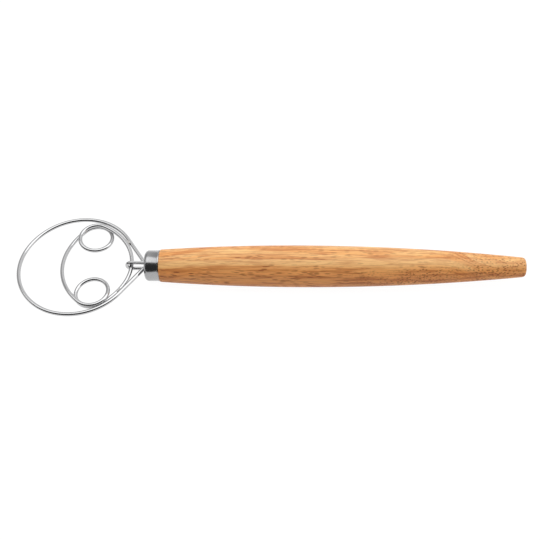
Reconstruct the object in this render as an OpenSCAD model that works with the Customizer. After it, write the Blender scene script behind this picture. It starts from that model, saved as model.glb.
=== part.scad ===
// Dough whisk: a big wire hoop, a smaller wire ring with two curls hooked inside it, a steel
// ferrule and a turned wooden handle.
// While the pieces are worked out, the handle's axis is the X axis and X = 0 is the front face of
// the ferrule. The hoop points to -X and lies level, the butt points to +X. In the model the
// origin is below the middle of the whisk, at the height of the surface that the belly lies on.

/* [Wires] */
// Diameter of the hoop's wire
hoop_wire_d = 2.7; // [2.2:0.1:3.2]
// Diameter of the ring's wire
ring_wire_d = 2.7; // [2.2:0.1:3.2]
// Diameter of the hook's wire
hook_wire_d = 2.4; // [2:0.1:2.8]
// Air between two wires that lie side by side
wire_gap = 0.15; // [0.1:0.05:0.3]

/* [Ring] */
// Distance from the ferrule to the middle of the ring's wire in the hook
ring_reach = 9.6; // [7.5:0.1:12]
// Radius of the ring's bend at the hook
mouth_bend_r = 33.5; // [28:0.5:38]
// Turn of the ring's bend at the hook, to each side
mouth_bend_angle = 25; // [20:1:30]
// Radius of the ring's shoulder, from the bend at the hook to the curl
shoulder_bend_r = 42.5; // [38:0.5:46]
// Turn of the ring's shoulder
shoulder_bend_angle = 34.5; // [31:0.5:38]
// Turn from the hook over which the ring's wire climbs to the level of its curl
climb_turn = 46; // [38:1:50]
// Radius of the first half of a curl
curl_r = 10.7; // [9:0.1:12]
// Growth of the curl's radius from its first half to its second
curl_growth = 0.4; // [0.2:0.1:0.6]
// Turn over which a curl's first strand runs level before it steps down
curl_lead_in = 41; // [35:1:50]
// Turn over which the curl steps down to its last strand
curl_fall = 290; // [280:5:310]
// Turn from where the curl closes to where its last strand leaves for the far side
curl_lead_out = 34; // [28:1:42]
// Angle by which the ring sits turned in the hook
ring_turn = 5; // [0:0.5:6]
// Distance by which the ring sits off the handle's axis
ring_offset = 1; // [0:0.1:1.2]

/* [Hook] */
// Air between the hook and the ring's wire, on each side
hook_gap = 0.45; // [0.35:0.05:0.7]
// Depth to which the hook's legs run into the handle
hook_depth = 30; // [20:1:50]

/* [Hoop] */
// Air between a curl and the side of the hoop, where they come closest
curl_gap = 0.1; // [0.1:0.05:3]
// Radius of the hoop's side bends
side_bend_r = 37.2; // [34:0.2:40]
// Turn of the hoop's wide front bend, to each side of the tip
tip_bend_angle = 55; // [48:1:62]
// Radius of the small bend where a leg turns into the ferrule
leg_bend_r = 4; // [3:0.5:5]
// Depth in the ferrule from which the legs run straight
leg_bend_depth = 1.8; // [1.4:0.1:3]
// Depth to which the hoop's legs run into the handle
leg_depth = 38; // [25:1:60]

/* [Ferrule] */
// Outer diameter of the ferrule
ferrule_d = 20.6; // [19:0.1:23]
// Length of the ferrule
ferrule_l = 10; // [8:0.1:14]
// Thickness of the ferrule's steel
ferrule_wall = 0.8; // [0.5:0.1:1.2]
// Outer radius of the ferrule's front edge
ferrule_edge_r = 2.6; // [1.8:0.1:3.4]
// Width of the turned lip at the ferrule's rear edge
lip_w = 1; // [0.6:0.1:1.6]
// Height of that lip above the ferrule
lip_h = 0.2; // [0.1:0.05:0.3]
// Air between the wires and the edge of the ferrule's hole
hole_gap = 0.4; // [0.2:0.1:0.8]

/* [Handle] */
// Length of the wood that shows behind the ferrule
handle_l = 241.5; // [200:0.5:280]
// Diameter of the handle at its belly
belly_d = 27.8; // [24.5:0.1:32]
// Distance from the ferrule's rear edge to the belly
belly_pos = 92; // [80:1:110]
// Diameter of the wood where it meets the ferrule
neck_d = 21.7; // [21.3:0.1:23.5]
// Diameter that the handle's curve runs down to at the butt
butt_d = 12.6; // [11:0.1:16]
// Radius of the rounded edge of the butt
butt_edge_r = 2.4; // [1:0.1:3.5]
// Radius of the eased edge of the wood behind the ferrule
neck_edge_r = 0.6; // [0.3:0.1:0.9]
// Air between the tenon and the ferrule
tenon_gap = 0.1; // [0.05:0.05:0.3]
// Thickness of the bedding around the wires, between them and the wall of the bore
bedding_wall = 0.5; // [0.3:0.1:1]
// Thickness of the joint between the bedding and what it touches
bond_gap = 0.05; // [0.02:0.01:0.1]
// Depth of the bore beyond the ends of the wires
bore_spare = 2; // [1:0.5:5]

/* [Welds] */
// Thickness of the weld spot that ties the ring to the hoop
weld_d = 2.4; // [2:0.1:2.6]
// Length of the weld spot along the wires
weld_l = 3; // [2:0.1:4]

/* [Hidden] */

$fn = 72;
WIRE_SIDES = 14;
CORNER_FN = 32;
// How many steps each bend of the ring and of the hoop is drawn with.
MOUTH_STEPS = 4;
SHOULDER_STEPS = 7;
CURL_IN_STEPS = 30;
CURL_OUT_STEPS = 29;
FAR_SIDE_STEPS = 10;
LEG_BEND_STEPS = 8;
SIDE_STEPS = 16;
TIP_STEPS = 10;
// How many steps a small rounded edge, the front arc and the rear arc of the handle are drawn with.
EDGE_STEPS = 8;
FRONT_STEPS = 14;
REAR_STEPS = 22;
// How far a cut starts and ends outside what it cuts.
CUT_OVER = 1;

STEEL = "#C9CCD0";
SATIN_STEEL = "#A9ADB3";
WOOD = "#C98A4B";
RESIN = "#D9C9A3";

// A path state is [x, y, heading]. A bend turns left, or right where its radius is negative.
function rod_end(s, l) = [s.x + l * cos(s.z), s.y + l * sin(s.z), s.z];
function bend_end(s, r, turn) =
  let (heading = s.z + sign(r) * turn)
    [s.x + r * (sin(heading) - sin(s.z)), s.y - r * (cos(heading) - cos(s.z)), heading];
function bend_states(s, r, turn, steps) = [for (i = [0:steps - 1]) bend_end(s, r, turn * i / steps)];
function reversed(list) = [for (i = [len(list) - 1:-1:0]) list[i]];
function without_first(list) = [for (i = [1:len(list) - 1]) list[i]];

function unit(v) = v / norm(v);
function along_wire(points, i, closed) =
  let (
    n = len(points),
    last = points[closed ? (i + n - 1) % n : max(i - 1, 0)],
    next = points[closed ? (i + 1) % n : min(i + 1, n - 1)]
  )
    last == points[i] ? unit(next - last)
    : next == points[i] ? unit(next - last)
    : unit(unit(next - points[i]) + unit(points[i] - last));
function wire_circle(p, along, d) =
  let (across = unit([-along.y, along.x, 0]))
    [
      for (k = [0:WIRE_SIDES - 1])
        let (a = 360 * k / WIRE_SIDES)
          p + d / 2 * (cos(a) * across + sin(a) * cross(along, across))
    ];

// Round wire of diameter d along a list of points, closed into a ring or with two flat ends.
module wire(points, d, closed) {
  rings = len(points);
  steps = closed ? rings : rings - 1;
  skin = [for (i = [0:rings - 1]) each wire_circle(points[i], along_wire(points, i, closed), d)];
  sides = [
    for (i = [0:steps - 1])
      for (k = [0:WIRE_SIDES - 1])
        let (
          a = i * WIRE_SIDES + k,
          b = i * WIRE_SIDES + (k + 1) % WIRE_SIDES,
          c = ((i + 1) % rings) * WIRE_SIDES + (k + 1) % WIRE_SIDES,
          e = ((i + 1) % rings) * WIRE_SIDES + k
        )
          each [[a, c, b], [a, e, c]]
  ];
  ends = closed ? [] : [
    [for (k = [0:WIRE_SIDES - 1]) k],
    [for (k = [WIRE_SIDES - 1:-1:0]) (rings - 1) * WIRE_SIDES + k]
  ];
  polyhedron(skin, concat(sides, ends), convexity = 10);
}

// The ring. Half of it runs from the hook over the shoulder, once round the curl and along the far
// side. The other half is the same, turned over about the ring's own axis.
curl_out_r = curl_r + curl_growth;
shoulder_end = mouth_bend_angle + shoulder_bend_angle;
at_hook = [0, 0, 90];
at_shoulder = bend_end(at_hook, mouth_bend_r, mouth_bend_angle);
at_curl = bend_end(at_shoulder, shoulder_bend_r, shoulder_bend_angle);
at_half_curl = bend_end(at_curl, curl_r, curl_lead_in + 180);
at_far_side = bend_end(at_half_curl, curl_out_r, 180 + curl_lead_out);
far_turn = at_hook.z + 540 - at_far_side.z;
far_bend_r = -at_far_side.y / cos(at_far_side.z);

// A curl's first strand lies above the last one, by one wire and its gap.
curl_step = (ring_wire_d + wire_gap) / 2;
fall_start = shoulder_end + curl_lead_in;
fall_end = fall_start + curl_fall;
far_start = at_far_side.z - at_hook.z;
function ring_height(turn) = curl_step * (
  turn < climb_turn ? sin(90 * turn / climb_turn)
  : turn < fall_start ? 1
  : turn < fall_end ? cos(180 * (turn - fall_start) / curl_fall)
  : turn < far_start ? -1
  : -cos(90 * (turn - far_start) / far_turn)
);
function ring_point(s) = [s.x, s.y, ring_height(s.z - at_hook.z)];

half_ring = [
  for (s = concat(
    bend_states(at_hook, mouth_bend_r, mouth_bend_angle, MOUTH_STEPS),
    bend_states(at_shoulder, shoulder_bend_r, shoulder_bend_angle, SHOULDER_STEPS),
    bend_states(at_curl, curl_r, curl_lead_in + 180, CURL_IN_STEPS),
    bend_states(at_half_curl, curl_out_r, 180 + curl_lead_out, CURL_OUT_STEPS),
    bend_states(at_far_side, far_bend_r, far_turn, FAR_SIDE_STEPS)
  ))
    ring_point(s)
];
far_crossing = ring_point(bend_end(at_far_side, far_bend_r, far_turn));
function turned_over(p) = [p.x, -p.y, -p.z];
ring_points = concat(
  half_ring,
  [far_crossing],
  [for (p = reversed(without_first(half_ring))) turned_over(p)]
);

// The ring sits a little turned and off the handle's axis, as it slid in the hook.
ring_pivot = [-shoulder_bend_r, 0, 0];
function turned(v) = [
  v.x * cos(ring_turn) - v.y * sin(ring_turn),
  v.x * sin(ring_turn) + v.y * cos(ring_turn),
  v.z
];
function on_ring(p) = ring_pivot + turned(p - ring_pivot) - [ring_reach, ring_offset, 0];

module inner_ring() {
  color(STEEL)
    in_place()
      wire([for (p = ring_points) on_ring(p)], ring_wire_d, true);
}

// The hook is a staple around the ring's wire. Its two legs lie above and below the hoop's legs.
hook_bend_r = (ring_wire_d + hook_wire_d) / 2 + hook_gap;

// Two rods along the handle's axis, from one depth to another, on either side of the axis.
module leg_pair(offset, from, to, d) {
  for (side = [-1, 1])
    translate([from, 0, 0] + side * offset)
      rotate([0, 90, 0])
        cylinder(h = to - from, d = d);
}

module hook() {
  color(STEEL)
    in_place() {
      leg_pair([0, 0, hook_bend_r], -ring_reach, hook_depth, hook_wire_d);
      translate([-ring_reach, 0, 0])
        rotate([90, 0, 0])
          rotate([0, 0, 90])
            rotate_extrude(angle = 180)
              translate([hook_bend_r, 0])
                circle(d = hook_wire_d);
    }
}

// The hoop is drawn around the ring: its straight legs pass the ring's shoulders with wire_gap,
// and its side bends pass the curls with curl_gap.
leg_y = (hoop_wire_d + wire_gap) / 2;
wires_r = (hoop_wire_d + ring_wire_d) / 2;
shoulder_clear = sqrt(pow(wires_r + wire_gap, 2) - pow(ring_height(mouth_bend_angle), 2));
curl_clear = sqrt(pow(wires_r + curl_gap, 2) - pow(curl_step, 2));
function bend_centre(s, r) = [s.x - r * sin(s.z), s.y + r * cos(s.z), 0];
shoulder_centre = bend_centre(at_shoulder, shoulder_bend_r);
curl_centre = bend_centre(at_half_curl, curl_out_r);
function sided(p, side) = [p.x, side * p.y, p.z];
function placed_on(p, side) = sided(on_ring(sided(p, side)), side);

at_tail = [leg_depth, leg_y, 180];
at_leg_bend = [leg_bend_depth, leg_y, 180];
function leg_slope_past(centre, r) =
  let (d = bend_centre(at_leg_bend, -leg_bend_r) - centre)
    90 - atan2(d.y, d.x) - acos((r + leg_bend_r) / norm(d));
leg_slope = max([
  for (side = [-1, 1])
    each [
      leg_slope_past(placed_on(shoulder_centre, side), shoulder_bend_r + shoulder_clear),
      leg_slope_past(placed_on(curl_centre, side), curl_out_r + curl_clear)
    ]
]);
at_leg = bend_end(at_leg_bend, -leg_bend_r, leg_slope);
leg_way = [cos(at_leg.z), sin(at_leg.z), 0];
function leg_length_past(centre) =
  let (d = centre - bend_centre(at_leg, side_bend_r))
    d * leg_way - sqrt(pow(side_bend_r - curl_out_r - curl_clear, 2) - pow(norm(cross(d, leg_way)), 2));
leg_l = max([for (side = [-1, 1]) leg_length_past(placed_on(curl_centre, side))]);
at_side = rod_end(at_leg, leg_l);
side_turn = 90 - tip_bend_angle + leg_slope;
at_front = bend_end(at_side, side_bend_r, side_turn);
tip_bend_r = at_front.y / sin(tip_bend_angle);
tip = bend_end(at_front, tip_bend_r, tip_bend_angle);

half_hoop = [
  for (s = concat(
    [at_tail],
    bend_states(at_leg_bend, -leg_bend_r, leg_slope, LEG_BEND_STEPS),
    [at_leg],
    bend_states(at_side, side_bend_r, side_turn, SIDE_STEPS),
    bend_states(at_front, tip_bend_r, tip_bend_angle, TIP_STEPS)
  ))
    [s.x, s.y, 0]
];
hoop_points = concat(
  half_hoop,
  [[tip.x, 0, 0]],
  [for (p = reversed(half_hoop)) sided(p, -1)]
);

module outer_hoop() {
  color(STEEL)
    in_place()
      wire(hoop_points, hoop_wire_d, false);
}

// The ferrule is a drawn cap with a rounded front edge, one hole for all four wires and a turned
// lip at its rear edge. It sits on the handle's tenon against the shoulder of the wood.
hole_r = hook_bend_r + hook_wire_d / 2 + hole_gap;
ferrule_in_r = ferrule_d / 2 - ferrule_wall;
ferrule_in_edge_r = ferrule_edge_r - ferrule_wall;

// Turns a profile, drawn as [distance along the axis, radius], about the handle's axis.
module turned_about_axis() {
  rotate([90, 0, 90])
    rotate_extrude()
      rotate([0, 0, 90])
        mirror([0, 1])
          children();
}

// What is cut from the corner of two edges to round it off with radius r about the point at.
module corner(at, r, dir) {
  translate(at)
    difference() {
      translate([dir.x > 0 ? 0 : -r, dir.y > 0 ? 0 : -r])
        square(r);
      circle(r, $fn = CORNER_FN);
    }
}

module ferrule_outline() {
  difference() {
    union() {
      square([ferrule_l, ferrule_d / 2]);
      translate([ferrule_l - lip_w, 0])
        square([lip_w, ferrule_d / 2 + lip_h]);
    }
    corner([ferrule_edge_r, ferrule_d / 2 - ferrule_edge_r], ferrule_edge_r, [-1, 1]);
  }
}

module ferrule_inside() {
  difference() {
    translate([ferrule_wall, 0])
      square([ferrule_l, ferrule_in_r]);
    corner([ferrule_edge_r, ferrule_d / 2 - ferrule_edge_r], ferrule_in_edge_r, [-1, 1]);
  }
}

module ferrule() {
  color(SATIN_STEEL)
    in_place()
      turned_about_axis()
        difference() {
          ferrule_outline();
          ferrule_inside();
          translate([-CUT_OVER, 0])
            square([ferrule_wall + 2 * CUT_OVER, hole_r]);
        }
}

// The handle: two long arcs meet at the belly, with a tenon in front and a bore for the wires.
belly_r = belly_d / 2;
belly_x = ferrule_l + belly_pos;
butt_x = ferrule_l + handle_l;
tenon_r = ferrule_in_r - tenon_gap;
tenon_x = ferrule_wall + tenon_gap;
tenon_edge_r = ferrule_in_edge_r;
bore_r = hook_bend_r + hook_wire_d / 2 + bedding_wall;
bore_end = max(leg_depth, hook_depth) + bore_spare;
function arc_radius(run, rise) = (run * run + rise * rise) / (2 * rise);
front_arc_r = arc_radius(belly_pos, belly_r - neck_d / 2);
rear_arc_r = arc_radius(butt_x - belly_x, belly_r - butt_d / 2);

// Where the middle of a rounded edge lies, at x along the axis, so that it runs into a long arc.
function edge_centre(x, arc_r, edge_r) =
  [x, belly_r - arc_r + sqrt(pow(arc_r - edge_r, 2) - pow(x - belly_x, 2))];
function edge_angle(centre, arc_r) =
  atan2(centre.y - belly_r + arc_r, centre.x - belly_x);
function arc_points(centre, r, from, to, steps) = [
  for (i = [0:steps])
    let (a = from + (to - from) * i / steps)
      centre + r * [cos(a), sin(a)]
];
neck_edge = edge_centre(ferrule_l + neck_edge_r, front_arc_r, neck_edge_r);
butt_edge = edge_centre(butt_x - butt_edge_r, rear_arc_r, butt_edge_r);
neck_angle = edge_angle(neck_edge, front_arc_r);
butt_angle = edge_angle(butt_edge, rear_arc_r);

module handle_outline() {
  polygon(concat(
    [[bore_end, 0], [bore_end, bore_r], [tenon_x, bore_r]],
    arc_points([tenon_x, tenon_r] + tenon_edge_r * [1, -1], tenon_edge_r, 180, 90, EDGE_STEPS),
    [[ferrule_l, tenon_r]],
    arc_points(neck_edge, neck_edge_r, 180, neck_angle, EDGE_STEPS),
    arc_points([belly_x, belly_r - front_arc_r], front_arc_r, neck_angle, 90, FRONT_STEPS),
    arc_points([belly_x, belly_r - rear_arc_r], rear_arc_r, 90, butt_angle, REAR_STEPS),
    arc_points(butt_edge, butt_edge_r, butt_angle, 0, EDGE_STEPS),
    [[butt_x, 0]]
  ));
}

module handle() {
  color(WOOD)
    in_place()
      turned_about_axis()
        handle_outline();
}

// The bedding is the set resin that holds the four wire ends in the bore.
module bedding() {
  color(RESIN)
    in_place()
      difference() {
        translate([leg_bend_depth, 0, 0])
          rotate([0, 90, 0])
            cylinder(h = bore_end - leg_bend_depth - bond_gap, r = bore_r - bond_gap);
        leg_pair([0, 0, hook_bend_r], 0, hook_depth + bond_gap, hook_wire_d + 2 * bond_gap);
        leg_pair([0, leg_y, 0], 0, leg_depth + bond_gap, hoop_wire_d + 2 * bond_gap);
      }
}

// Where a shoulder of the ring passes a leg of the hoop, a weld spot ties the two.
function weld_turn(side) = 90 - leg_slope - side * ring_turn;
function shoulder_point(turn, side) =
  let (p = ring_point(bend_end(at_shoulder, shoulder_bend_r, turn - mouth_bend_angle)))
    on_ring(side > 0 ? p : turned_over(p));
function leg_point(p, side) =
  let (from = [at_leg.x, side * at_leg.y, 0], way = sided(leg_way, side))
    from + ((p - from) * way) * way;

// Round rod of length l with its middle at p, along direction t.
module rod_along(p, t, l, d) {
  translate(p)
    rotate([0, acos(t.z), atan2(t.y, t.x)])
      cylinder(h = l, d = d, center = true);
}

module weld_spots() {
  color(SATIN_STEEL)
    in_place()
      for (side = [-1, 1]) {
        ring_at = shoulder_point(weld_turn(side), side);
        ring_way = unit(shoulder_point(weld_turn(side) + 1, side) - ring_at);
        leg_at = leg_point(ring_at, side);
        difference() {
          rod_along((ring_at + leg_at) / 2, sided(leg_way, side), weld_l, weld_d);
          rod_along(ring_at, ring_way, 2 * weld_l, ring_wire_d);
          rod_along(leg_at, sided(leg_way, side), 2 * weld_l, hoop_wire_d);
        }
      }
}

module in_place() {
  translate([-(butt_x + tip.x - hoop_wire_d / 2) / 2, 0, belly_r])
    children();
}

handle();
ferrule();
bedding();
outer_hoop();
inner_ring();
hook();
weld_spots();
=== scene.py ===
"""Dough whisk: the finished wires, ferrule and turned handle, a pale studio floor and a camera."""

import math

import bmesh
import bpy
from bpy.props import FloatProperty, FloatVectorProperty, IntProperty, PointerProperty
from mathutils import Matrix, Vector


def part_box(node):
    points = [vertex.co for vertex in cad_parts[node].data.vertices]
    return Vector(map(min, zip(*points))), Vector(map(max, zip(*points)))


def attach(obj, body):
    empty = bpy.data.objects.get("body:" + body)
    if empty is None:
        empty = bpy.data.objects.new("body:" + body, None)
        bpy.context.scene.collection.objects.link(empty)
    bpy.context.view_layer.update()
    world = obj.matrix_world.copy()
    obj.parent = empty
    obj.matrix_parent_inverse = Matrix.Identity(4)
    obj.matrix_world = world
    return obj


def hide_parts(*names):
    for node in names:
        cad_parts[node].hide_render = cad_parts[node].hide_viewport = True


bl_info = {
    "name": "Dough whisk",
    "version": (1, 0, 0),
    "blender": (4, 5, 0),
    "location": "3D View > Sidebar > Dough whisk",
    "description": "Dresses the dough whisk's wires, ferrule and handle and sets up its stage",
    "category": "Object",
}

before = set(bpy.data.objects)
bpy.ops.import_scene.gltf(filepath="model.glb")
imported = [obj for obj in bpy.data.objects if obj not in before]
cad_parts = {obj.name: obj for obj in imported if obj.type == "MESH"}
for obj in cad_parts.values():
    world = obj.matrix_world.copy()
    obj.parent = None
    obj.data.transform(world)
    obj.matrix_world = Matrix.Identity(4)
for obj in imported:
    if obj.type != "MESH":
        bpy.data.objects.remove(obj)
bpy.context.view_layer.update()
FERRULE_LOW, FERRULE_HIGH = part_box("ferrule")
HANDLE_LOW, HANDLE_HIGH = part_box("handle")
HOOP_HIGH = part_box("outer_hoop")[1]
HOOK_LOW, HOOK_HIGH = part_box("hook")
# The handle's axis is level and runs along X. Depths are counted from the ferrule's front face.
FRONT_X = FERRULE_LOW.x
AXIS_Z = (HANDLE_LOW.z + HANDLE_HIGH.z) / 2

FULL_TURN = 2 * math.pi
HALF_TURN = math.pi
QUARTER_TURN = math.pi / 2
# How far a piece may be off its CAD node before its operator stops.
FIT_TOLERANCE = 0.0003
# Distance between two points of a wire's path in a bend, and how many times that on a straight run.
PATH_STEP = 0.0006
RUN_STEPS = 4
# Fewest steps in a bend of a wire.
BEND_STEPS = 4
# A turned piece has this many faces around it. A point nearer to the axis than this lies on it.
TURNED_SIDES = 128
ON_AXIS = 1e-7
# Edges that are sharper than this aren't shaded smooth.
SHARP_ANGLE = math.radians(40)
# Steps of the arcs in the sections of the ferrule and the handle.
SOFT_EDGE_STEPS = 4
CAP_EDGE_STEPS = 16
CAP_INSIDE_STEPS = 12
SMALL_EDGE_STEPS = 8
FRONT_ARC_STEPS = 40
REAR_ARC_STEPS = 60
BUTT_EDGE_STEPS = 12
# The growth rings face this far up from the handle's side, and bow by this much for a metre squared
# of distance from its middle, or this much more near the ferrule.
GRAIN_TILT = math.radians(39.27)
RING_BOW = 9
FRONT_BOW = 18
# How far the growth rings drift across the handle near the ferrule and at the butt, and how far
# they wander and ripple all along it.
FRONT_DRIFT = 0.006
BUTT_DRIFT = 0.012
RING_WANDER = 0.006
RING_RIPPLE = 0.0012
EDGE_WANDER = 0.004
# Where the grain stops bending behind the ferrule, and where it starts to bend at the butt.
FRONT_SWIRL_END = FERRULE_HIGH.x + 0.045
BUTT_SWIRL_START = 0.1
BUTT_SWIRL_END = 0.15
# Heights, square to the growth rings, over which heartwood tone and painted shade fade out, and the
# pale streak above it.
HEART_AND_SHADE_FADE = (-0.006, 0.0014)
PALE_FADE = (0.0025, 0.005)
# The short specks start this much further forward on the side with heartwood tone and painted shade.
HEART_AND_SHADE_SPECKS = 0.06
# Cells of each texture in one metre along X, Y and Z.
WANDER_CELLS = (11, 60, 60)
RIPPLE_CELLS = (60, 160, 160)
BAND_CELLS = (9, 300, 30)
DARK_LINE_CELLS = (20, 1000, 120)
FIBRE_CELLS = (70, 1200, 1200)
THREAD_CELLS = (34, 560, 560)
DASH_CELLS = (170, 800, 800)
SPECK_CELLS = (480, 850, 850)
CROWD_CELLS = (35, 200, 200)
DRAWN_LINE_CELLS = (60, 9, 9)
WIRE_STAIN_CELLS = (160, 160, 160)
TURNED_LINE_CELLS = (4200, 90, 90)
SMEAR_CELLS = (150, 210, 210)
WELD_CELLS = (1400, 1400, 1400)
CLOUD_CELLS = (600, 600, 600)
FLOOR_CELLS = (3, 3, 3)
# Strength and height of the relief of each finish.
WOOD_RELIEF = (0.2, 0.0001)
WIRE_RELIEF = (0.08, 0.00005)
FERRULE_RELIEF = (0.1, 0.00004)
WELD_RELIEF = (0.3, 0.0001)
ADHESIVE_RELIEF = (0.3, 0.0002)
# Refraction of the oil on the wood.
WOOD_IOR = 1.42
# Strength of the studio: its dark side in front, its left side and what its right side adds.
STUDIO_FRONT = 0.05
STUDIO_LEFT = 0.44
STUDIO_RIGHT = 0.52
# Where it fades from left to right and from front to back, as parts of a direction from -1 to 1.
STUDIO_SIDE_FADE = (-0.65, 0.15)
STUDIO_FRONT_FADE = (-0.3, -0.12)
# The two shades of the matt floor, and the strength at which it shows as plain white.
FLOOR_SHADES = ((0.82, 0.82, 0.82), (0.84, 0.84, 0.84))
FLOOR_WHITE = 1.08
SOFTBOX_PLACE = Vector((0.3, 0.12, 0.8))
FILL_PLACE = Vector((0.1, -0.45, 1.25))
SENSOR_WIDTH = 36
# Nearest distance that the camera shows.
CAMERA_NEAR = 0.02


def length(name, description, default):
    """A size in metres."""
    return FloatProperty(
        name=name, description=description, default=default, min=0, precision=5, unit="LENGTH"
    )


def angle(name, description, degrees):
    """An angle, given in degrees."""
    return FloatProperty(
        name=name, description=description, default=math.radians(degrees), subtype="ANGLE"
    )


def colour(name, description, default):
    """A linear colour."""
    return FloatVectorProperty(
        name=name, description=description, default=default, size=3, min=0, max=1, subtype="COLOR"
    )


def share(name, description, default):
    """A number from 0 to 1."""
    return FloatProperty(
        name=name, description=description, default=default, min=0, max=1, subtype="FACTOR"
    )


class WireSizes(bpy.types.PropertyGroup):
    """Thickness and roundness of the wires."""

    hoop: length("Hoop wire", "Diameter of the hoop's wire", 0.0027)
    ring: length("Ring wire", "Diameter of the ring's wire", 0.0027)
    hook: length("Hook wire", "Diameter of the hook's wire", HOOK_HIGH.y - HOOK_LOW.y)
    gap: length("Wire gap", "Air between two wires that lie side by side", 0.00015)
    sides: IntProperty(
        name="Sides", description="Faces around a wire", default=24, min=8, max=64
    )


class RingShape(bpy.types.PropertyGroup):
    """Bends of the ring, from the hook over the shoulder and round the curl."""

    reach: length("Reach", "Distance from the ferrule to the ring's wire in the hook", 0.0096)
    mouth_radius: length("Mouth radius", "Radius of the bend at the hook", 0.0335)
    mouth_turn: angle("Mouth turn", "Turn of the bend at the hook, to each side", 25)
    shoulder_radius: length("Shoulder radius", "Radius of the shoulder", 0.0425)
    shoulder_turn: angle("Shoulder turn", "Turn of the shoulder", 34.5)
    climb: angle("Climb", "Turn over which the wire climbs to the level of its curl", 46)
    curl_radius: length("Curl radius", "Radius of the first half of a curl", 0.0107)
    curl_growth: length("Curl growth", "Growth of the radius to the second half", 0.0004)
    lead_in: angle("Lead in", "Turn over which the curl's first strand runs level", 41)
    fall: angle("Fall", "Turn over which the curl steps down", 290)
    lead_out: angle("Lead out", "Turn from where the curl closes to the far side", 34)
    turn: angle("Ring turn", "Angle by which the ring sits turned in the hook", 5)
    offset: length("Ring offset", "Distance by which the ring sits off the axis", 0.001)


class HoopShape(bpy.types.PropertyGroup):
    """Bends of the hoop, from a leg in the ferrule to the tip."""

    leg_depth: length("Leg depth", "Depth at which a leg starts to bend", 0.0018)
    leg_radius: length("Leg radius", "Radius of the small bend at the ferrule", 0.004)
    leg_slope: angle("Leg slope", "Angle between a leg and the handle's axis", 56.6101)
    leg_length: length("Leg length", "Straight length of a leg", 0.0252691)
    side_radius: length("Side radius", "Radius of the side bends", 0.0372)
    tip_turn: angle("Tip turn", "Turn of the front bend, to each side of the tip", 55)


class HookShape(bpy.types.PropertyGroup):
    """The hook is a staple around the ring's wire."""

    bend_radius: length("Hook bend", "Radius of the hook's bend", 0.003)


class FerruleShape(bpy.types.PropertyGroup):
    """Section of the ferrule."""

    diameter: length("Diameter", "Outer diameter", 0.0206)
    wall: length("Wall", "Thickness of the steel", 0.0008)
    edge: length("Front edge", "Outer radius of the front edge", 0.0026)
    lip_width: length("Lip width", "Width of the lip at the rear edge", 0.001)
    lip_round: length("Lip edge", "Radius of the lip's edges", 0.00012)
    hole: length("Hole radius", "Radius of the hole for the wires", 0.0046)


class HandleShape(bpy.types.PropertyGroup):
    """Section of the turned handle."""

    belly: length("Belly", "Distance from the ferrule's rear edge to the belly", 0.092)
    neck: length("Neck", "Diameter where the wood meets the ferrule", 0.0217)
    neck_edge: length("Neck edge", "Radius of the eased edge behind the ferrule", 0.0006)
    butt: length("Butt", "Diameter that the curve runs down to at the butt", 0.0126)
    butt_edge: length("Butt edge", "Radius of the rounded edge of the butt", 0.0024)
    tenon_gap: length("Tenon gap", "Air between the tenon and the ferrule", 0.0001)
    bore: length("Bore", "Radius of the bore for the wires", 0.0047)
    bore_depth: length("Bore depth", "Depth of the bore behind the ferrule's front face", 0.04)


class FinishColours(bpy.types.PropertyGroup):
    """Colours and gloss of the wood, the steel and the adhesive."""

    wood_light: colour("Light wood", "Wood between the growth lines", (0.92, 0.55, 0.222))
    wood_warm: colour("Warm wood", "Orange bands of the wood", (0.84, 0.375, 0.11))
    # The heartwood colour is also painted shade on the lower front side.
    wood_heart_shade: colour("Heartwood and shade", "Redder wood on the front side", (0.88, 0.325, 0.076))
    wood_line: colour("Growth line", "Dark growth lines", (0.5, 0.15, 0.04))
    wood_pore: colour("Pore", "Open pores", (0.26, 0.07, 0.018))
    steel_wire: colour("Wire", "Polished steel of the wires", (0.53, 0.53, 0.535))
    wire_stain: colour("Wire stain", "Duller patches of the wires", (0.45, 0.45, 0.455))
    steel_ferrule: colour("Ferrule", "Satin steel of the ferrule", (0.39, 0.39, 0.395))
    ferrule_smear: colour("Ferrule smear", "Duller patches of the ferrule", (0.34, 0.34, 0.35))
    steel_weld: colour("Weld", "Fused steel of the weld spots", (0.4, 0.39, 0.38))
    weld_fleck: colour("Weld fleck", "Brighter grain of the weld spots", (0.62, 0.6, 0.57))
    adhesive: colour("Adhesive", "Set adhesive in the bore", (0.62, 0.53, 0.38))
    adhesive_cloud: colour("Adhesive cloud", "Browner clouds in it", (0.45, 0.37, 0.25))
    wire_roughness: share("Wire roughness", "Roughness of the polished wire", 0.1)
    ferrule_roughness: share("Ferrule roughness", "Roughness of the satin ferrule", 0.2)
    wood_roughness: share("Wood roughness", "Roughness of the oiled wood", 0.46)


class StageSizes(bpy.types.PropertyGroup):
    """Floor, light and camera."""

    camera_turn: angle("Camera turn", "How far the camera stands to the right of the front", 4.73)
    camera_rise: angle("Camera rise", "How far the camera looks down", 50.62)
    camera_roll: angle("Camera roll", "Roll of the camera", 3.39)
    camera_distance: length("Camera distance", "From the aim to the camera", 0.6477)
    camera_lens: FloatProperty(
        name="Lens", description="Focal length in millimetres", default=65.03, min=20
    )
    aim_x: FloatProperty(name="Aim X", description="Aim along the handle", default=0.00136)
    aim_y: FloatProperty(name="Aim Y", description="Aim across the handle", default=-0.0033)
    floor_size: length("Floor", "Width of the floor", 30)
    floor_glow: share("Floor glow", "Share of plain white that the camera sees", 0.9)
    softbox_length: length("Softbox length", "Length of the softbox, along the handle", 2.6)
    softbox_width: length("Softbox width", "Width of the softbox", 0.68)
    fill_size: length("Fill size", "Width of the fill lamp", 0.9)
    overhead_light: FloatProperty(
        name="Overhead", description="Brightness of the overhead softbox", default=1.08, min=0
    )
    fill_light: FloatProperty(
        name="Fill", description="Brightness of the fill on the wood", default=1.32, min=0
    )


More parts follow.
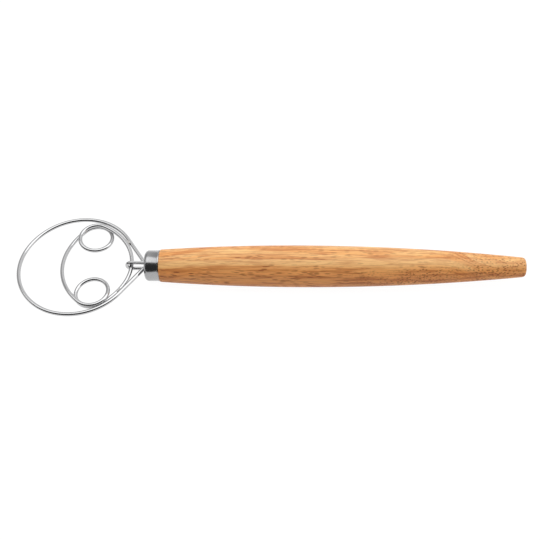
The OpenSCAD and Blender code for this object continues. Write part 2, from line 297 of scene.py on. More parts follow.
PROPERTY_GROUPS = {
    "wires": WireSizes,
    "ring": RingShape,
    "hoop": HoopShape,
    "hook": HookShape,
    "ferrule": FerruleShape,
    "handle": HandleShape,
    "finish": FinishColours,
    "stage": StageSizes,
}


class WhiskSettings(bpy.types.PropertyGroup):
    """Every size and colour of the whisk."""

    wires: PointerProperty(type=WireSizes)
    ring: PointerProperty(type=RingShape)
    hoop: PointerProperty(type=HoopShape)
    hook: PointerProperty(type=HookShape)
    ferrule: PointerProperty(type=FerruleShape)
    handle: PointerProperty(type=HandleShape)
    finish: PointerProperty(type=FinishColours)
    stage: PointerProperty(type=StageSizes)


# Shader nodes


def socket_named(sockets, key):
    """The socket with this identifier, name or number."""
    if isinstance(key, int):
        return sockets[key]
    for socket in sockets:
        if socket.identifier == key:
            return socket
    return sockets[key]


class Shade:
    """A shader node's output. Arithmetic on outputs and numbers adds Math nodes."""

    def __init__(self, tree, socket=None):
        self.tree = tree
        self.socket = socket

    def node(self, kind, settings=None, inputs=None, output=0):
        """Adds a node, sets it up, feeds its sockets and returns one of its outputs."""
        made = self.tree.nodes.new(kind)
        for key, value in (settings or {}).items():
            setattr(made, key, value)
        for key, value in (inputs or {}).items():
            socket = socket_named(made.inputs, key)
            if isinstance(value, Shade):
                self.tree.links.new(value.socket, socket)
            elif socket.type == "RGBA" and len(value) == 3:
                socket.default_value = (*value, 1)
            else:
                socket.default_value = value
        found = socket_named(made.outputs, output) if made.outputs else None
        return Shade(self.tree, found)

    def math(self, operation, *values):
        """A Math node on outputs and numbers."""
        return self.node("ShaderNodeMath", {"operation": operation}, dict(enumerate(values)))

    def axes(self, *names):
        """The named axes of a vector."""
        return [self.node("ShaderNodeSeparateXYZ", None, {0: self}, name) for name in names]

    def __add__(self, other):
        return self.math("ADD", self, other)

    def __radd__(self, other):
        return self.math("ADD", other, self)

    def __sub__(self, other):
        return self.math("SUBTRACT", self, other)

    def __rsub__(self, other):
        return self.math("SUBTRACT", other, self)

    def __mul__(self, other):
        return self.math("MULTIPLY", self, other)

    def __rmul__(self, other):
        return self.math("MULTIPLY", other, self)


def blended(factor, first, second):
    """The colour between two colours."""
    return factor.node(
        "ShaderNodeMix",
        {"data_type": "RGBA"},
        {"Factor_Float": factor, "A_Color": first, "B_Color": second},
        "Result_Color",
    )


def stepped(value, low, high):
    """0 below low, 1 above high and smooth between them."""
    return value.node(
        "ShaderNodeMapRange",
        {"interpolation_type": "SMOOTHSTEP"},
        {"Value": value, "From Min": low, "From Max": high},
    )


def scaled(place, stretch):
    """A place times a number on each axis."""
    return place.node(
        "ShaderNodeVectorMath", {"operation": "MULTIPLY"}, {0: place, 1: Vector(stretch)}
    )


def noise(place, detail=3.0, roughness=0.5):
    """Noise from 0 to 1 whose cells are 1 wide."""
    inputs = {"Vector": place, "Scale": 1.0, "Detail": detail, "Roughness": roughness}
    return place.node("ShaderNodeTexNoise", None, inputs, "Fac")


def streaks(place, cells, detail=3.0, roughness=0.5):
    """Noise from 0 to 1 with this many cells in a metre along X, Y and Z."""
    return noise(scaled(place, cells), detail, roughness)


def flecks(place, cells, core, rim):
    """Scattered grains, one in each cell, that fade from core to rim as parts of a cell."""
    inputs = {"Vector": scaled(place, cells), "Scale": 1.0}
    distance = place.node("ShaderNodeTexVoronoi", None, inputs, "Distance")
    return 1 - stepped(distance, core, rim)


def new_material(name):
    """An empty material and a Shade to start from."""
    material = bpy.data.materials.new(name)
    material.use_nodes = True
    tree = material.node_tree
    tree.nodes.clear()
    return material, Shade(tree)


def finish_material(start, surface):
    """Leads a surface to the material's output."""
    start.node("ShaderNodeOutputMaterial", None, {"Surface": surface})


def dress_material(start, inputs):
    """Gives the material a Principled surface with these inputs."""
    finish_material(start, start.node("ShaderNodeBsdfPrincipled", None, inputs))


def bumped(height, strength, distance):
    """The normal of a surface with this height."""
    inputs = {"Height": height, "Strength": strength, "Distance": distance}
    return height.node("ShaderNodeBump", None, inputs, "Normal")


def object_place(start):
    """The place of a point in metres, from the frame's origin."""
    return start.node("ShaderNodeTexCoord", None, None, "Object")


def wood_material(colours):
    """Open-grained hardwood, oiled: wavy growth bands, fibres, pores and specks near the butt."""
    material, start = new_material("oiled_wood")
    place = object_place(start)
    x, y, z = place.axes("X", "Y", "Z")
    # The growth rings are wide arcs that stand up to the handle's front side. Near the ferrule
    # and the butt they bend across it.
    lean, lift = math.cos(GRAIN_TILT), math.sin(GRAIN_TILT)
    up = lean * y + lift * (z - AXIS_Z)
    aside = lift * y - lean * (z - AXIS_Z)
    wander = streaks(place, WANDER_CELLS, 2) - 0.5
    ripple = streaks(place, RIPPLE_CELLS, 2) - 0.5
    near_ferrule = 1 - stepped(x, FERRULE_HIGH.x, FRONT_SWIRL_END)
    near_butt = stepped(x, BUTT_SWIRL_START, BUTT_SWIRL_END)
    front_swirl = near_ferrule * (FRONT_DRIFT - FRONT_BOW * aside * aside)
    swirl = front_swirl + BUTT_DRIFT * near_butt * near_butt
    ring_way = up + RING_BOW * aside * aside + RING_WANDER * wander + RING_RIPPLE * ripple + swirl
    grain_place = start.node("ShaderNodeCombineXYZ", None, {"X": x, "Y": ring_way, "Z": aside})
    warm = stepped(streaks(grain_place, BAND_CELLS, 2), 0.38, 0.6)
    dark_line = stepped(streaks(grain_place, DARK_LINE_CELLS, 3), 0.5, 0.66)
    fibres = streaks(place, FIBRE_CELLS, 4, 0.6)
    threads = stepped(streaks(place, THREAD_CELLS, 3), 0.5, 0.62)

    # Pores are dashes that crowd in the warm bands, and short specks where the wood tapers.
    dashes = flecks(place, DASH_CELLS, 0.22, 0.46)
    specks = flecks(place, SPECK_CELLS, 0.22, 0.48)
    crowd = stepped(streaks(place, CROWD_CELLS, 2), 0.38, 0.56)
    # The lower front side is a little redder and darker: heartwood tone and painted shade, below a
    # pale streak.
    edge = up + EDGE_WANDER * wander + RING_RIPPLE * ripple
    heart_and_shade = 1 - stepped(edge, *HEART_AND_SHADE_FADE)
    pale = (1 - heart_and_shade) * (1 - stepped(edge, *PALE_FADE))
    tapered = stepped(x + HEART_AND_SHADE_SPECKS * heart_and_shade, BUTT_SWIRL_START, BUTT_SWIRL_END)
    pores = dashes * (0.25 + 0.5 * warm + 0.5 * heart_and_shade) * crowd * (1 - tapered)
    pores = pores + specks * tapered * (0.4 + 0.6 * crowd)

    wood = blended(0.85 * warm, colours.wood_light, colours.wood_warm)
    wood = blended(0.6 * pale, wood, colours.wood_light)
    wood = blended(0.7 * heart_and_shade, wood, colours.wood_heart_shade)
    wood = blended(0.5 * dark_line * (0.4 + 0.6 * warm), wood, colours.wood_line)
    wood = blended((0.5 + 0.2 * heart_and_shade - 0.3 * pale) * threads, wood, colours.wood_line)
    wood = blended(0.5 * stepped(fibres, 0.46, 0.66), wood, colours.wood_line)
    wood = blended(0.8 * pores, wood, colours.wood_pore)

    height = 0.35 * fibres + 0.3 * (1 - dark_line) - pores
    roughness = colours.wood_roughness + 0.16 * (fibres - 0.5) + 0.2 * pores
    dress_material(
        start,
        {
            "Base Color": wood,
            "Roughness": roughness,
            "Normal": bumped(height, *WOOD_RELIEF),
            "IOR": WOOD_IOR,
        },
    )
    return material


def drawn_steel_material(colours):
    """Polished steel wire with the faint lengthwise lines that drawing leaves."""
    material, start = new_material("polished_wire")
    along = start.node("ShaderNodeAttribute", {"attribute_name": "along"}, None, "Fac")
    around = start.node("ShaderNodeAttribute", {"attribute_name": "around"}, None, "Vector")
    side, front = around.axes("X", "Y")
    unrolled = start.node("ShaderNodeCombineXYZ", None, {"X": along, "Y": side, "Z": front})
    lines = streaks(unrolled, DRAWN_LINE_CELLS, 3, 0.6)
    stains = streaks(object_place(start), WIRE_STAIN_CELLS, 3)
    shade = blended(0.35 * stepped(stains, 0.45, 0.75), colours.steel_wire, colours.wire_stain)
    roughness = colours.wire_roughness + 0.05 * (lines - 0.5) + 0.05 * (stains - 0.5)
    dress_material(
        start,
        {
            "Base Color": shade,
            "Metallic": 1.0,
            "Roughness": roughness,
            "Normal": bumped(lines, *WIRE_RELIEF),
        },
    )
    return material


def satin_steel_material(colours):
    """Satin steel of the ferrule, turned with fine lines around it."""
    material, start = new_material("satin_ferrule")
    place = object_place(start)
    turned = streaks(place, TURNED_LINE_CELLS, 3, 0.6)
    smears = streaks(place, SMEAR_CELLS, 3)
    shade = blended(0.5 * stepped(smears, 0.4, 0.8), colours.steel_ferrule, colours.ferrule_smear)
    roughness = colours.ferrule_roughness + 0.12 * (turned - 0.5) + 0.1 * (smears - 0.5)
    dress_material(
        start,
        {
            "Base Color": shade,
            "Metallic": 1.0,
            "Roughness": roughness,
            "Normal": bumped(turned, *FERRULE_RELIEF),
        },
    )
    return material


def weld_material(colours):
    """Fused steel, duller than the wire and a little mottled."""
    material, start = new_material("fused_weld")
    grain = streaks(object_place(start), WELD_CELLS, 4, 0.6)
    shade = blended(grain, colours.steel_weld, colours.weld_fleck)
    dress_material(
        start,
        {
            "Base Color": shade,
            "Metallic": 1.0,
            "Roughness": 0.3 + 0.25 * grain,
            "Normal": bumped(grain, *WELD_RELIEF),
        },
    )
    return material


def adhesive_material(colours):
    """Set adhesive in the bore, cloudy and a little uneven."""
    material, start = new_material("set_adhesive")
    clouds = streaks(object_place(start), CLOUD_CELLS, 3)
    shade = blended(clouds, colours.adhesive, colours.adhesive_cloud)
    dress_material(
        start,
        {
            "Base Color": shade,
            "Roughness": 0.4 + 0.2 * clouds,
            "Normal": bumped(clouds, *ADHESIVE_RELIEF),
        },
    )
    return material


# Meshes


def place_piece(name, mesh, material, slot, *nodes):
    """Puts a finished mesh in the scene in place of CAD nodes."""
    piece = bpy.data.objects.new(name, mesh)
    bpy.context.scene.collection.objects.link(piece)
    if material.name not in mesh.materials:
        mesh.materials.append(material)
    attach(piece, "root")
    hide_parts(*nodes)
    return piece


def check_fit(piece, node):
    """Stops where a piece isn't where its CAD node is."""
    low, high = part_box(node)
    corners = [vertex.co for vertex in piece.data.vertices]
    for axis in range(3):
        values = [corner[axis] for corner in corners]
        off = max(abs(min(values) - low[axis]), abs(max(values) - high[axis]))
        if off > FIT_TOLERANCE:
            raise ValueError(f"{piece.name} is {off * 1000:.2f} mm off {node} along axis {axis}")


def in_frame(depth, across, height):
    """The place of a point that is given from the ferrule's front face and the handle's axis."""
    return Vector((FRONT_X + depth, across, AXIS_Z + height))


def arc(centre, radius, start, end, steps):
    """Points of an arc in a section, as (depth, radius)."""
    turns = [start + (end - start) * i / steps for i in range(steps + 1)]
    return [(centre[0] + radius * math.cos(a), centre[1] + radius * math.sin(a)) for a in turns]


def turned_mesh(name, section, closed):
    """A section of (depth, radius) points turned about the handle's axis."""
    turns = [FULL_TURN * i / TURNED_SIDES for i in range(TURNED_SIDES)]
    shape = bmesh.new()
    rings = []
    for depth, radius in section:
        if radius < ON_AXIS:
            places = [in_frame(depth, 0, 0)]
        else:
            places = [in_frame(depth, radius * math.cos(a), radius * math.sin(a)) for a in turns]
        rings.append([shape.verts.new(place) for place in places])
    last = rings[:1] if closed else []
    for first, second in zip(rings, rings[1:] + last):
        for i in range(TURNED_SIDES):
            j = (i + 1) % TURNED_SIDES
            if len(first) == 1:
                corners = [first[0], second[j], second[i]]
            elif len(second) == 1:
                corners = [first[i], first[j], second[0]]
            else:
                corners = [first[i], first[j], second[j], second[i]]
            shape.faces.new(corners)
    bmesh.ops.recalc_face_normals(shape, faces=shape.faces)
    mesh = bpy.data.meshes.new(name)
    shape.to_mesh(mesh)
    shape.free()
    mesh.shade_smooth()
    mesh.set_sharp_from_angle(angle=SHARP_ANGLE)
    return mesh


# Paths of the wires. A path state is (depth, across, heading).


def rod_end(state, run):
    """The state after a straight run."""
    x, y, heading = state
    return x + run * math.cos(heading), y + run * math.sin(heading), heading


def bend_end(state, radius, turn):
    """The state after a bend to the left, or to the right with a negative radius."""
    x, y, heading = state
    after = heading + math.copysign(turn, radius)
    return (
        x + radius * (math.sin(after) - math.sin(heading)),
        y - radius * (math.cos(after) - math.cos(heading)),
        after,
    )


def bend_states(state, radius, turn):
    """States along a bend, without its last one."""
    steps = max(BEND_STEPS, math.ceil(abs(radius) * turn / PATH_STEP))
    return [bend_end(state, radius, turn * i / steps) for i in range(steps)]


def rod_states(state, run):
    """States along a straight stretch, without its last one."""
    steps = max(1, math.ceil(run / (RUN_STEPS * PATH_STEP)))
    return [rod_end(state, run * i / steps) for i in range(steps)]


def ring_path(ring, wires):
    """The closed path of the ring: a half from the hook round the curl, and the same turned over."""
    step = (wires.ring + wires.gap) / 2
    hook_heading = QUARTER_TURN
    at_hook = (0, 0, hook_heading)
    at_shoulder = bend_end(at_hook, ring.mouth_radius, ring.mouth_turn)
    at_curl = bend_end(at_shoulder, ring.shoulder_radius, ring.shoulder_turn)
    at_half_curl = bend_end(at_curl, ring.curl_radius, ring.lead_in + HALF_TURN)
    curl_out = ring.curl_radius + ring.curl_growth
    at_far = bend_end(at_half_curl, curl_out, HALF_TURN + ring.lead_out)
    far_turn = hook_heading + 3 * HALF_TURN - at_far[2]
    far_radius = -at_far[1] / math.cos(at_far[2])
    fall_start = ring.mouth_turn + ring.shoulder_turn + ring.lead_in
    fall_end = fall_start + ring.fall
    far_start = at_far[2] - hook_heading

    def height(turn):
        """Height of the wire's middle after a turn from the hook."""
        if turn < ring.climb:
            return step * math.sin(QUARTER_TURN * turn / ring.climb)
        if turn < fall_start:
            return step
        if turn < fall_end:
            return step * math.cos(HALF_TURN * (turn - fall_start) / ring.fall)
        if turn < far_start:
            return -step
        return -step * math.cos(QUARTER_TURN * (turn - far_start) / far_turn)

    states = (
        bend_states(at_hook, ring.mouth_radius, ring.mouth_turn)
        + bend_states(at_shoulder, ring.shoulder_radius, ring.shoulder_turn)
        + bend_states(at_curl, ring.curl_radius, ring.lead_in + HALF_TURN)
        + bend_states(at_half_curl, curl_out, HALF_TURN + ring.lead_out)
        + bend_states(at_far, far_radius, far_turn)
        + [bend_end(at_far, far_radius, far_turn)]
    )
    half = [(x, y, height(heading - hook_heading)) for x, y, heading in states]
    whole = half + [(x, -y, -z) for x, y, z in reversed(half[1:-1])]
    pivot = Vector((-ring.shoulder_radius, 0, 0))
    turned = Matrix.Rotation(ring.turn, 3, "Z")
    shift = pivot - Vector((ring.reach, ring.offset, 0))
    return [in_frame(*(turned @ (Vector(point) - pivot) + shift)) for point in whole]


def hoop_path(hoop, wires):
    """The open path of the hoop, from the end of one leg round the tip to the end of the other."""
    tail = (HOOP_HIGH.x - FRONT_X, (wires.hoop + wires.gap) / 2, HALF_TURN)
    at_bend = (hoop.leg_depth, tail[1], HALF_TURN)
    at_leg = bend_end(at_bend, -hoop.leg_radius, hoop.leg_slope)
    at_side = rod_end(at_leg, hoop.leg_length)
    side_turn = QUARTER_TURN - hoop.tip_turn + hoop.leg_slope
    at_front = bend_end(at_side, hoop.side_radius, side_turn)
    tip_radius = at_front[1] / math.sin(hoop.tip_turn)
    states = (
        rod_states(tail, tail[0] - hoop.leg_depth)
        + bend_states(at_bend, -hoop.leg_radius, hoop.leg_slope)
        + rod_states(at_leg, hoop.leg_length)
        + bend_states(at_side, hoop.side_radius, side_turn)
        + bend_states(at_front, tip_radius, hoop.tip_turn)
    )
    half = [(x, y, 0) for x, y, heading in states]
    tip = bend_end(at_front, tip_radius, hoop.tip_turn)
    whole = half + [(tip[0], 0, 0)] + [(x, -y, z) for x, y, z in reversed(half)]
    return [in_frame(*point) for point in whole]


def hook_path(hook, ring):
    """The open path of the hook: over the ring's wire, around it and back below."""
    tail = (HOOK_HIGH.x - FRONT_X, hook.bend_radius, HALF_TURN)
    run = tail[0] + ring.reach
    at_bend = rod_end(tail, run)
    back = bend_end(at_bend, hook.bend_radius, HALF_TURN)
    states = (
        rod_states(tail, run)
        + bend_states(at_bend, hook.bend_radius, HALF_TURN)
        + rod_states(back, run)
        + [rod_end(back, run)]
    )
    return [in_frame(x, 0, z) for x, z, heading in states]


def wire_tree():
    """Geometry nodes that sweep a round wire along a path."""
    tree = bpy.data.node_groups.new("Wire along a path", "GeometryNodeTree")
    tree.interface.new_socket("Geometry", in_out="INPUT", socket_type="NodeSocketGeometry")
    for name, kind in (
        ("Thickness", "NodeSocketFloat"),
        ("Sides", "NodeSocketInt"),
        ("Finish", "NodeSocketMaterial"),
    ):
        tree.interface.new_socket(name, in_out="INPUT", socket_type=kind)
    tree.interface.new_socket("Geometry", in_out="OUTPUT", socket_type="NodeSocketGeometry")

    def add(kind, settings=None, **feeds):
        """Adds a node, sets it up and feeds its sockets."""
        made = tree.nodes.new(kind)
        for key, value in (settings or {}).items():
            setattr(made, key, value)
        for key, value in feeds.items():
            socket = socket_named(made.inputs, key.replace("_", " "))
            if isinstance(value, bpy.types.NodeSocket):
                tree.links.new(value, socket)
            else:
                socket.default_value = value
        return made

    given = add("NodeGroupInput").outputs
    radius = add("ShaderNodeMath", {"operation": "MULTIPLY"})
    tree.links.new(given["Thickness"], radius.inputs[0])
    radius.inputs[1].default_value = 0.5
    path = add("GeometryNodeMeshToCurve", None, Mesh=given["Geometry"])
    run = add("GeometryNodeSplineParameter")
    marked_path = add(
        "GeometryNodeStoreNamedAttribute",
        {"data_type": "FLOAT", "domain": "POINT"},
        Geometry=path.outputs["Curve"],
        Name="along",
        Value=run.outputs["Length"],
    )
    circle = add(
        "GeometryNodeCurvePrimitiveCircle", None, Resolution=given["Sides"], Radius=radius.outputs[0]
    )
    unit_place = add("ShaderNodeVectorMath", {"operation": "NORMALIZE"})
    tree.links.new(add("GeometryNodeInputPosition").outputs[0], unit_place.inputs[0])
    marked_circle = add(
        "GeometryNodeStoreNamedAttribute",
        {"data_type": "FLOAT_VECTOR", "domain": "POINT"},
        Geometry=circle.outputs["Curve"],
        Name="around",
        Value=unit_place.outputs["Vector"],
    )
    swept = add(
        "GeometryNodeCurveToMesh",
        None,
        Curve=marked_path.outputs["Geometry"],
        Profile_Curve=marked_circle.outputs["Geometry"],
        Fill_Caps=True,
    )
    smooth = add("GeometryNodeSetShadeSmooth", None, Geometry=swept.outputs["Mesh"])
    real = add("GeometryNodeRealizeInstances", None, Geometry=smooth.outputs["Geometry"])
    dressed = add(
        "GeometryNodeSetMaterial", None, Geometry=real.outputs["Geometry"], Material=given["Finish"]
    )
    add("NodeGroupOutput", None, Geometry=dressed.outputs["Geometry"])
    return tree


def wire_mesh(name, points, closed, thickness, sides, material):
    """The mesh of a wire along a path, made by the geometry nodes."""
    last = len(points)
    edges = [(i, (i + 1) % last) for i in range(last if closed else last - 1)]
    guide = bpy.data.meshes.new(f"{name}_path")
    guide.from_pydata(points, edges, [])
    carrier = bpy.data.objects.new(f"{name}_path", guide)
    bpy.context.scene.collection.objects.link(carrier)
    tree = bpy.data.node_groups.get("Wire along a path") or wire_tree()
    modifier = carrier.modifiers.new("Wire", "NODES")
    modifier.node_group = tree
    values = {"Thickness": thickness, "Sides": sides, "Finish": material}
    for item in tree.interface.items_tree:
        if item.in_out == "INPUT" and item.name in values:
            modifier[item.identifier] = values[item.name]
    graph = bpy.context.evaluated_depsgraph_get()
    evaluated = carrier.evaluated_get(graph)
    mesh = bpy.data.meshes.new_from_object(
        evaluated, preserve_all_data_layers=True, depsgraph=graph
    )
    mesh.name = name
    bpy.data.objects.remove(carrier)
    bpy.data.meshes.remove(guide)
    return mesh


# Operators


class WhiskOperator(bpy.types.Operator):
    """What the whisk's operators share."""

    bl_options = {"REGISTER", "UNDO"}

    @property
    def settings(self):
        """The whisk's sizes and colours."""
        return bpy.context.scene.whisk

    def place_wire(self, name, node, path, closed, thickness):
        """Sweeps a wire along a path in place of its CAD node."""
        s = self.settings
        material = bpy.data.materials.get("polished_wire") or drawn_steel_material(s.finish)
        mesh = wire_mesh(name, path, closed, thickness, s.wires.sides, material)
        piece = place_piece(name, mesh, material, "wire_steel", node)
        check_fit(piece, node)

    def place_turned(self, name, node, section, closed, material, slot):
        """Turns a section about the handle's axis in place of its CAD node."""
        mesh = turned_mesh(name, section, closed)
        piece = place_piece(name, mesh, material, slot, node)
        check_fit(piece, node)

    def finish_node(self, node, material):
        """Gives a CAD node that stays in view a material of its own."""
        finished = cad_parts[node]
        finished.data.materials.clear()
        finished.data.materials.append(material)


class WHISK_OT_outer_hoop(WhiskOperator):
    """Sweep the hoop's wire from one leg round the tip to the other leg"""

    bl_idname = "whisk.outer_hoop"
    bl_label = "Outer hoop"

    def execute(self, context):
        s = self.settings
        path = hoop_path(s.hoop, s.wires)
        self.place_wire("hoop_wire", "outer_hoop", path, False, s.wires.hoop)
        return {"FINISHED"}


class WHISK_OT_inner_ring(WhiskOperator):
    """Sweep the ring's wire through its shoulders and its two curls"""

    bl_idname = "whisk.inner_ring"
    bl_label = "Inner ring"

    def execute(self, context):
        s = self.settings
        path = ring_path(s.ring, s.wires)
        self.place_wire("ring_wire", "inner_ring", path, True, s.wires.ring)
        return {"FINISHED"}


class WHISK_OT_hook(WhiskOperator):
    """Sweep the hook's wire around the ring"""

    bl_idname = "whisk.hook"
    bl_label = "Hook"

    def execute(self, context):
        s = self.settings
        path = hook_path(s.hook, s.ring)
        self.place_wire("hook_wire", "hook", path, False, s.wires.hook)
        return {"FINISHED"}


class WHISK_OT_weld_spots(WhiskOperator):
    """Give the weld spots between the ring and the hoop their finish"""

    bl_idname = "whisk.weld_spots"
    bl_label = "Weld spots"

    def execute(self, context):
        self.finish_node("weld_spots", weld_material(self.settings.finish))
        return {"FINISHED"}


class WHISK_OT_bedding(WhiskOperator):
    """Give the adhesive in the bore its finish"""

    bl_idname = "whisk.bedding"
    bl_label = "Bedding"

    def execute(self, context):
        self.finish_node("bedding", adhesive_material(self.settings.finish))
        return {"FINISHED"}


class WHISK_OT_ferrule(WhiskOperator):
    """Turn the ferrule: a drawn cap with a rounded front edge and a lip"""

    bl_idname = "whisk.ferrule"
    bl_label = "Ferrule"

    def execute(self, context):
        s = self.settings.ferrule
        run = FERRULE_HIGH.x - FERRULE_LOW.x
        lip_radius = (FERRULE_HIGH.y - FERRULE_LOW.y) / 2
        outer = s.diameter / 2
        inner = outer - s.wall
        edge_centre = (s.edge, outer - s.edge)
        soft = s.lip_round
        lip_x = run - s.lip_width
        section = (
            arc((soft, s.hole + soft), soft, 3 * QUARTER_TURN, HALF_TURN, SOFT_EDGE_STEPS)
            + arc(edge_centre, s.edge, HALF_TURN, QUARTER_TURN, CAP_EDGE_STEPS)
            + [(lip_x - soft, outer)]
            + arc((lip_x + soft, lip_radius - soft), soft, HALF_TURN, QUARTER_TURN, SOFT_EDGE_STEPS)
            + arc((run - soft, lip_radius - soft), soft, QUARTER_TURN, 0, SOFT_EDGE_STEPS)
            + [(run, inner)]
            + arc(edge_centre, s.edge - s.wall, QUARTER_TURN, HALF_TURN, CAP_INSIDE_STEPS)
            + [(s.wall, s.hole)]
        )
        material = satin_steel_material(self.settings.finish)
        self.place_turned("ferrule_cap", "ferrule", section, True, material, "ferrule_steel")
        return {"FINISHED"}


class WHISK_OT_handle(WhiskOperator):
    """Turn the wooden handle: tenon, eased neck, belly and rounded butt"""

    bl_idname = "whisk.handle"
    bl_label = "Handle"

    def execute(self, context):
        s = self.settings.handle
        cap = self.settings.ferrule
        shoulder_x = FERRULE_HIGH.x - FRONT_X
        butt_x = HANDLE_HIGH.x - FRONT_X
        belly_x = shoulder_x + s.belly
        belly_radius = (HANDLE_HIGH.y - HANDLE_LOW.y) / 2
        tenon_x = cap.wall + s.tenon_gap
        tenon_radius = cap.diameter / 2 - cap.wall - s.tenon_gap
        tenon_edge = cap.edge - cap.wall

        def arc_radius(run, rise):
            """Radius of an arc that is level at the belly and drops by rise over run."""
            return (run * run + rise * rise) / (2 * rise)

        def edge_of(x, long_radius, radius):
            """Centre of a rounded edge inside a long arc, and the angle at which they meet."""
            drop = math.sqrt((long_radius - radius) ** 2 - (x - belly_x) ** 2)
            centre = (x, belly_radius - long_radius + drop)
            return centre, math.atan2(drop, x - belly_x)

        front_radius = arc_radius(s.belly, belly_radius - s.neck / 2)
        rear_radius = arc_radius(butt_x - belly_x, belly_radius - s.butt / 2)
        neck_centre, neck_angle = edge_of(shoulder_x + s.neck_edge, front_radius, s.neck_edge)
        butt_centre, butt_angle = edge_of(butt_x - s.butt_edge, rear_radius, s.butt_edge)
        tenon_centre = (tenon_x + tenon_edge, tenon_radius - tenon_edge)
        front_centre = (belly_x, belly_radius - front_radius)
        rear_centre = (belly_x, belly_radius - rear_radius)
        section = (
            [(s.bore_depth, 0), (s.bore_depth, s.bore), (tenon_x, s.bore)]
            + arc(tenon_centre, tenon_edge, HALF_TURN, QUARTER_TURN, SMALL_EDGE_STEPS)
            + [(shoulder_x, tenon_radius)]
            + arc(neck_centre, s.neck_edge, HALF_TURN, neck_angle, SMALL_EDGE_STEPS)
            + arc(front_centre, front_radius, neck_angle, QUARTER_TURN, FRONT_ARC_STEPS)[1:]
            + arc(rear_centre, rear_radius, QUARTER_TURN, butt_angle, REAR_ARC_STEPS)[1:]
            + arc(butt_centre, s.butt_edge, butt_angle, 0, BUTT_EDGE_STEPS)[1:]
            + [(butt_x, 0)]
        )
        material = wood_material(self.settings.finish)
        self.place_turned("turned_handle", "handle", section, False, material, "wood")
        return {"FINISHED"}


def studio_world():
    """A white studio with a dark side in front of the whisk, which only its steel mirrors."""
    world = bpy.data.worlds.new("studio")
    world.use_nodes = True
    world.node_tree.nodes.clear()
    start = Shade(world.node_tree)
    way = start.node("ShaderNodeTexCoord", None, None, "Generated")
    right, back = way.axes("X", "Y")
    sides = STUDIO_LEFT + STUDIO_RIGHT * stepped(right, *STUDIO_SIDE_FADE)
    bright = STUDIO_FRONT + sides * stepped(back, *STUDIO_FRONT_FADE)
    seen = start.node("ShaderNodeLightPath", None, None, "Is Camera Ray")
    strength = start.math("MAXIMUM", seen, bright)
    surface = start.node(
        "ShaderNodeBackground", None, {"Color": (1, 1, 1, 1), "Strength": strength}
    )
    start.node("ShaderNodeOutputWorld", None, {"Surface": surface})
    return world


def floor_material(sizes):
    """Matt white floor, shown to the camera and to metal as plain white with a soft shadow."""
    material, start = new_material("pale_floor")
    seen = [
        start.node("ShaderNodeLightPath", None, None, ray)
        for ray in ("Is Camera Ray", "Is Glossy Ray", "Is Transmission Ray")
    ]
    shown = start.math("MAXIMUM", start.math("MAXIMUM", seen[0], seen[1]), seen[2])
    grain = streaks(object_place(start), FLOOR_CELLS, 2)
    matt = start.node("ShaderNodeBsdfDiffuse", None, {"Color": blended(grain, *FLOOR_SHADES)})
    white = start.node("ShaderNodeEmission", None, {"Color": (1, 1, 1), "Strength": FLOOR_WHITE})
    mixed = start.node(
        "ShaderNodeMixShader", None, {0: sizes.floor_glow * shown, 1: matt, 2: white}
    )
    finish_material(start, mixed)
    return material


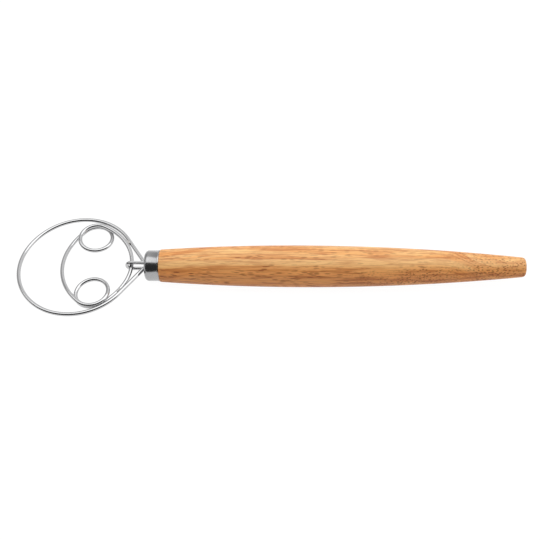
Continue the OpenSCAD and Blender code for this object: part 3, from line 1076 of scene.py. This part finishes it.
class WHISK_OT_stage(WhiskOperator):
    """Lay the floor and set the light and the camera"""

    bl_idname = "whisk.stage"
    bl_label = "Stage"

    def execute(self, context):
        s = self.settings.stage
        scene = context.scene
        scene.view_settings.view_transform = "Standard"
        scene.world = studio_world()

        half = s.floor_size / 2
        corners = [(-half, -half, 0), (half, -half, 0), (half, half, 0), (-half, half, 0)]
        mesh = bpy.data.meshes.new("floor")
        mesh.from_pydata(corners, [], [(0, 1, 2, 3)])
        mesh.materials.append(floor_material(s))
        floor = bpy.data.objects.new("floor", mesh)
        scene.collection.objects.link(floor)

        softbox = bpy.data.lights.new("overhead_softbox", "AREA")
        softbox.shape = "RECTANGLE"
        softbox.size = s.softbox_length
        softbox.size_y = s.softbox_width
        softbox.energy = s.overhead_light * math.pi * softbox.size * softbox.size_y
        lamp = bpy.data.objects.new("overhead_softbox", softbox)
        lamp.location = SOFTBOX_PLACE
        scene.collection.objects.link(lamp)

        fill = bpy.data.lights.new("front_fill", "AREA")
        fill.shape = "SQUARE"
        fill.size = s.fill_size
        fill.energy = s.fill_light * math.pi * fill.size * fill.size
        fill_lamp = bpy.data.objects.new("front_fill", fill)
        fill_lamp.location = FILL_PLACE
        fill_lamp.rotation_euler = FILL_PLACE.to_track_quat("Z", "Y").to_euler()
        # The steel mirrors the softbox, not the fill.
        fill_lamp.visible_glossy = False
        scene.collection.objects.link(fill_lamp)

        aim = Vector((s.aim_x, s.aim_y, AXIS_Z))
        back = Vector(
            (
                math.cos(s.camera_rise) * math.sin(s.camera_turn),
                -math.cos(s.camera_rise) * math.cos(s.camera_turn),
                math.sin(s.camera_rise),
            )
        )
        camera = bpy.data.objects.new("camera", bpy.data.cameras.new("camera"))
        camera.data.lens = s.camera_lens
        camera.data.sensor_width = SENSOR_WIDTH
        camera.data.clip_start = CAMERA_NEAR
        turn = back.to_track_quat("Z", "Y").to_matrix().to_4x4()
        roll = Matrix.Rotation(-s.camera_roll, 4, "Z")
        camera.matrix_world = Matrix.Translation(aim + back * s.camera_distance) @ turn @ roll
        scene.collection.objects.link(camera)
        scene.camera = camera
        return {"FINISHED"}


OPERATORS = (
    WHISK_OT_stage,
    WHISK_OT_outer_hoop,
    WHISK_OT_inner_ring,
    WHISK_OT_hook,
    WHISK_OT_weld_spots,
    WHISK_OT_bedding,
    WHISK_OT_ferrule,
    WHISK_OT_handle,
)


class WHISK_PT_panel(bpy.types.Panel):
    """Lists the whisk's operators and sizes."""

    bl_idname = "WHISK_PT_panel"
    bl_label = "Dough whisk"
    bl_space_type = "VIEW_3D"
    bl_region_type = "UI"
    bl_category = "Dough whisk"

    def draw(self, context):
        layout = self.layout
        for operator in OPERATORS:
            layout.operator(operator.bl_idname)
        for name, group in PROPERTY_GROUPS.items():
            box = layout.box()
            box.label(text=name.capitalize())
            for field in group.__annotations__:
                box.prop(getattr(context.scene.whisk, name), field)


CLASSES = (*PROPERTY_GROUPS.values(), WhiskSettings, *OPERATORS, WHISK_PT_panel)


def register():
    """Registers the classes and keeps the settings with the scene."""
    for item in CLASSES:
        bpy.utils.register_class(item)
    bpy.types.Scene.whisk = PointerProperty(type=WhiskSettings)


def unregister():
    """Undoes register."""
    del bpy.types.Scene.whisk
    for item in reversed(CLASSES):
        bpy.utils.unregister_class(item)


def main():
    register()
    for operator in OPERATORS:
        group, name = operator.bl_idname.split(".")
        getattr(getattr(bpy.ops, group), name)()


if __name__ == "__main__":
    main()
